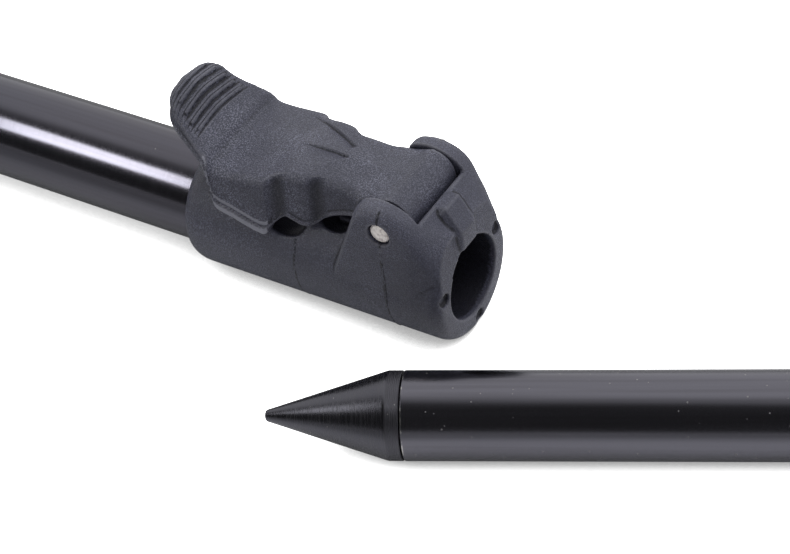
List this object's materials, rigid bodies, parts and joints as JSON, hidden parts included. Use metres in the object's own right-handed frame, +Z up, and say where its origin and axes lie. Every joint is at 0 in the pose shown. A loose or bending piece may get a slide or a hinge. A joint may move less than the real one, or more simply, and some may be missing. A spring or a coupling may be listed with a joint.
{
  "type": "telescopic bank stick",
  "caption": "Two-section telescopic bank stick drawn apart: thick tube with a moulded cam lever lock, thin tube with a ground point, threaded top for an alarm or rod rest",
  "frame": {"origin": "middle of the footprint, on the ground under the laid-down stick", "axes": "+X along the thick section, out of the mouth of its lock; +Z up, the side the lever is on; +Y to the far side"},
  "size_m": [0.5218, 0.1302, 0.0419],
  "materials": {
    "gloss_anodised": "glossy black anodised",
    "satin_anodised": "satin black anodised",
    "turned_point": "turned and black anodised",
    "insert_metal": "machined and black anodised",
    "bare_steel": "bare pin with peened ends",
    "moulded_plastic": "charcoal moulded nylon with a fine speckled grain",
    "pad_plastic": "plain black moulding"
  },
  "bodies": {
    "outer_section": {"outer_tube": "gloss_anodised", "top_insert": "insert_metal", "lock_housing": "moulded_plastic", "pivot_pin": "bare_steel"},
    "lever": {"cam_lever": "moulded_plastic"},
    "pad": {"pressure_pad": "pad_plastic"},
    "inner_section": {"inner_tube": "satin_anodised", "ground_point": "turned_point", "inner_end_plug": "pad_plastic"}
  },
  "joints": [
    {"name": "lever_hinge", "type": "hinge", "parent": "outer_section", "child": "lever", "pos_m": [0.00779, -0.02134, 0.0288], "axis": [0, 1, 0], "range_deg": [0, 98]},
    {"name": "pad_lift", "type": "slide", "parent": "outer_section", "child": "pad", "axis": [0, 0, 1], "range_m": [0, 0.0006]},
    {"name": "section_slide", "type": "slide", "parent": "outer_section", "child": "inner_section", "axis": [0.9033, 0.4289, 0], "range_m": [0, 0.2]}
  ],
  "couplings": [
    {"joint": "pad_lift", "follows": "lever_hinge", "m_per_rad": 0.0003438}
  ]
}
